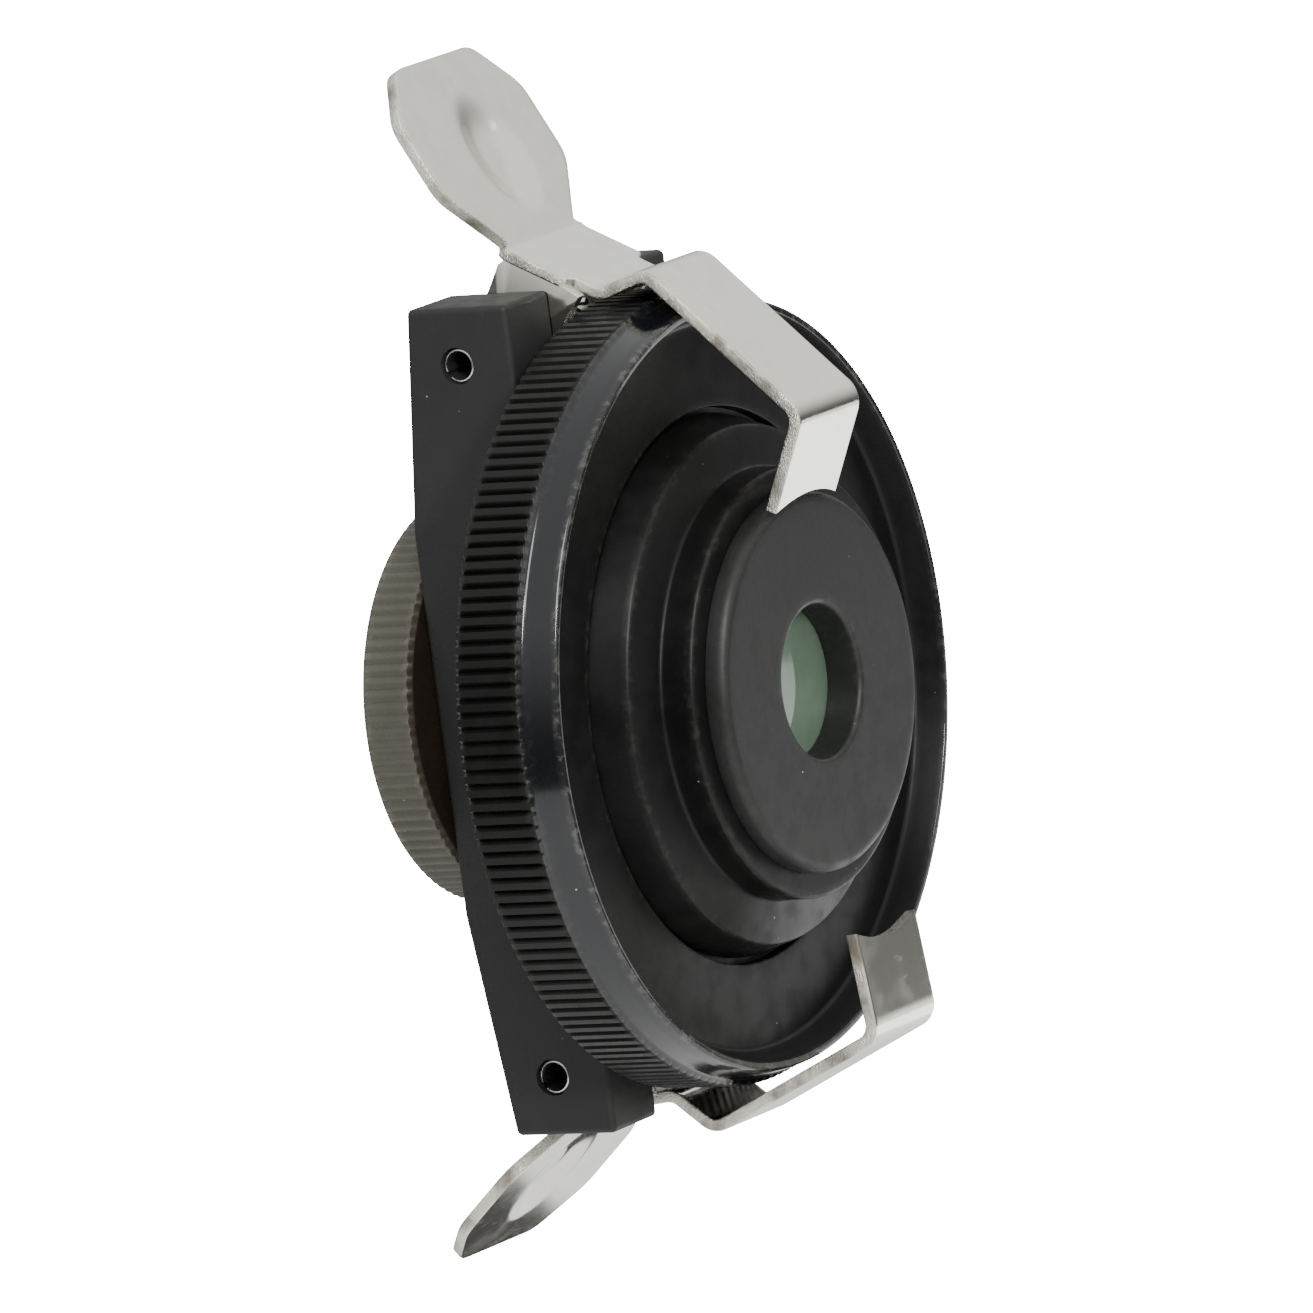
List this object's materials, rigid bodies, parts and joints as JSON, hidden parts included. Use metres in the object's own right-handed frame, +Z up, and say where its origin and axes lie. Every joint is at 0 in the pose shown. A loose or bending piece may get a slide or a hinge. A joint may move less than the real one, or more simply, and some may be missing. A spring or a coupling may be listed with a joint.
{
  "type": "viewing loupe",
  "caption": "Clip-on viewing loupe: frame block with two sprung hook levers, knurled focusing cup with stepped seat and sight hole, ribbed eye ring.",
  "frame": {"origin": "on the optical axis at the foot of the front seat, where the second tier rises from the first", "axes": "-Y along the optical axis out of the front, +Z up towards the upper lever, X along the pivot pins"},
  "size_m": [0.064, 0.0418, 0.097],
  "materials": {
    "black_block": "matte black",
    "black_anodised": "matte black anodised",
    "black_plastic": "semi-gloss black",
    "nickel": "bright nickel plate",
    "steel": "plain steel",
    "brass": "turned",
    "olive_grey": "matte olive grey",
    "glass": "coated lens"
  },
  "bodies": {
    "frame": {"frame_block": "black_block", "main_sleeve": "black_anodised", "sleeve_screws": "steel", "upper_pivot_pin": "steel", "lower_pivot_pin": "steel", "upper_spring": "steel", "lower_spring": "steel", "cup_snap_ring": "steel", "eye_snap_ring": "steel", "wave_washer": "steel", "stepped_seat": "black_plastic", "centre_cap": "black_plastic", "front_window": "glass"},
    "upper_lever": {"upper_lever": "nickel"},
    "lower_lever": {"lower_lever": "nickel"},
    "focus_cup": {"knurled_cup": "black_plastic", "cam_ring": "brass"},
    "lens_carrier": {"lens_cell": "black_anodised", "guide_pin": "steel", "front_lens": "glass", "lens_spacer": "black_anodised", "rear_lens": "glass", "lens_retaining_ring": "black_anodised"},
    "eye_ring": {"ribbed_eye_ring": "olive_grey"},
    "eye_carrier": {"eye_lens_cell": "black_anodised", "eye_guide_pin": "steel", "eye_lens": "glass", "eye_lens_retaining_ring": "black_anodised"}
  },
  "joints": [
    {"name": "upper_lever_hinge", "type": "hinge", "parent": "frame", "child": "upper_lever", "pos_m": [0, 0.0173, 0.0289], "axis": [-1, 0, 0], "range_deg": [0, 24], "stiffness_Nm_per_rad": 0.15, "springref_deg": -20.05},
    {"name": "lower_lever_hinge", "type": "hinge", "parent": "frame", "child": "lower_lever", "pos_m": [0, 0.0173, -0.0289], "axis": [1, 0, 0], "range_deg": [-1, 10], "stiffness_Nm_per_rad": 0.15},
    {"name": "focus_turn", "type": "hinge", "parent": "frame", "child": "focus_cup", "pos_m": [0, 0, 0], "axis": [0, -1, 0], "range_deg": [-60, 60]},
    {"name": "focus_slide", "type": "slide", "parent": "frame", "child": "lens_carrier", "axis": [0, -1, 0], "range_m": [-0.0012, 0.0012]},
    {"name": "eye_turn", "type": "hinge", "parent": "frame", "child": "eye_ring", "pos_m": [0, 0, 0], "axis": [0, -1, 0], "range_deg": [-60, 60]},
    {"name": "eye_slide", "type": "slide", "parent": "frame", "child": "eye_carrier", "axis": [0, -1, 0], "range_m": [-0.0006, 0.0006]}
  ],
  "couplings": [
    {"joint": "focus_slide", "follows": "focus_turn", "m_per_rad": 0.001145},
    {"joint": "eye_slide", "follows": "eye_turn", "m_per_rad": 0.000572}
  ]
}
